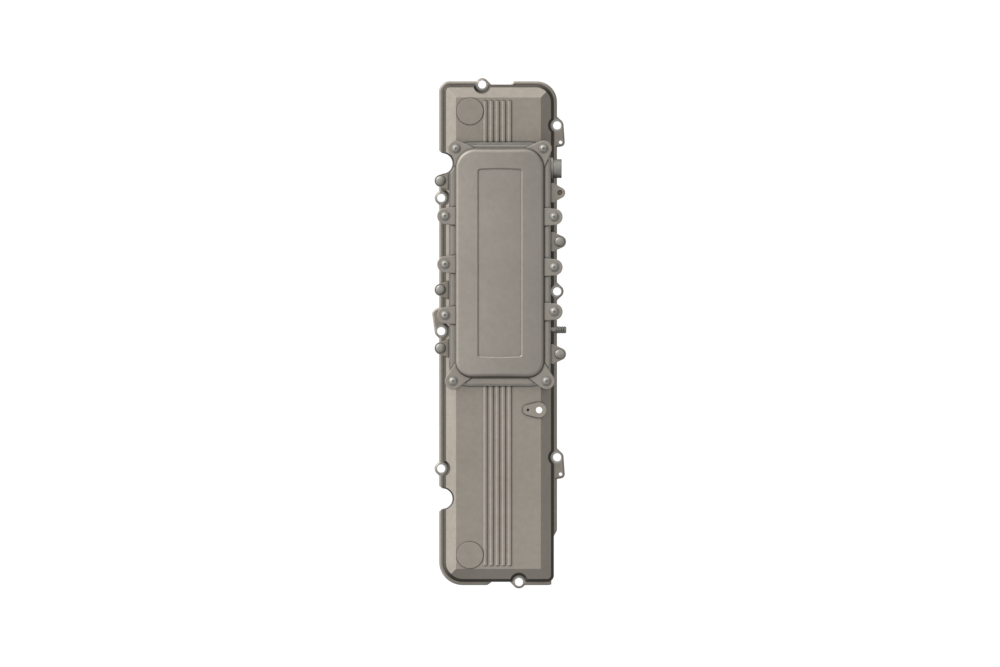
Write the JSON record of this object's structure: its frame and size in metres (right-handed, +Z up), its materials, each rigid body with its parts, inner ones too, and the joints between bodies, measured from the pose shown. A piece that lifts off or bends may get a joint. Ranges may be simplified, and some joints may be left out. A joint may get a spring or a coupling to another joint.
{
  "type": "engine valve cover",
  "caption": "Long cast aluminium valve cover for a heavy diesel engine, with a bevelled roof, ribs, socket pockets and a raised crankcase breather chamber under a screwed lid.",
  "frame": {"origin": "middle of the sealing plane, level with the underside of the seal and centred on the casting's walls", "axes": "+Y towards the engine's front (the end with the breather chamber), +X towards the side with the outlet pipe, +Z up, out of the engine"},
  "size_m": [0.2627, 0.9998, 0.1422],
  "materials": {
    "cast_aluminium": "sand-cast, lightly blasted, matt",
    "lid_aluminium": "die-cast, matt",
    "seal_rubber": "moulded black rubber",
    "zinc_steel": "zinc-plated",
    "tube_steel": "zinc-plated, turned",
    "sheet_steel": "rolled sheet",
    "wire_wool": "packed wire"
  },
  "bodies": {
    "root": {"cover_casting": "cast_aluminium", "cover_gasket": "seal_rubber", "breather_lid": "lid_aluminium", "lid_gasket": "seal_rubber", "breather_outlet_tube": "tube_steel", "hose_nipple": "tube_steel", "baffle_plate": "sheet_steel", "separator_frame_front": "sheet_steel", "separator_frame_rear": "sheet_steel", "separator_pack": "wire_wool", "oil_drain_tube": "tube_steel", "drain_valve": "seal_rubber", "lid_screw_1": "zinc_steel", "lid_screw_2": "zinc_steel", "lid_screw_3": "zinc_steel", "lid_screw_4": "zinc_steel", "lid_screw_5": "zinc_steel", "lid_screw_6": "zinc_steel", "lid_screw_7": "zinc_steel", "lid_screw_8": "zinc_steel", "lid_screw_9": "zinc_steel", "lid_screw_10": "zinc_steel", "side_plug_1": "zinc_steel", "side_plug_2": "zinc_steel", "side_plug_3": "zinc_steel", "side_plug_4": "zinc_steel", "side_plug_5": "zinc_steel", "baffle_screw_1": "zinc_steel", "baffle_screw_2": "zinc_steel", "baffle_screw_3": "zinc_steel", "baffle_screw_4": "zinc_steel", "baffle_screw_5": "zinc_steel", "baffle_screw_6": "zinc_steel", "baffle_screw_7": "zinc_steel", "baffle_screw_8": "zinc_steel"}
  },
  "joints": []
}
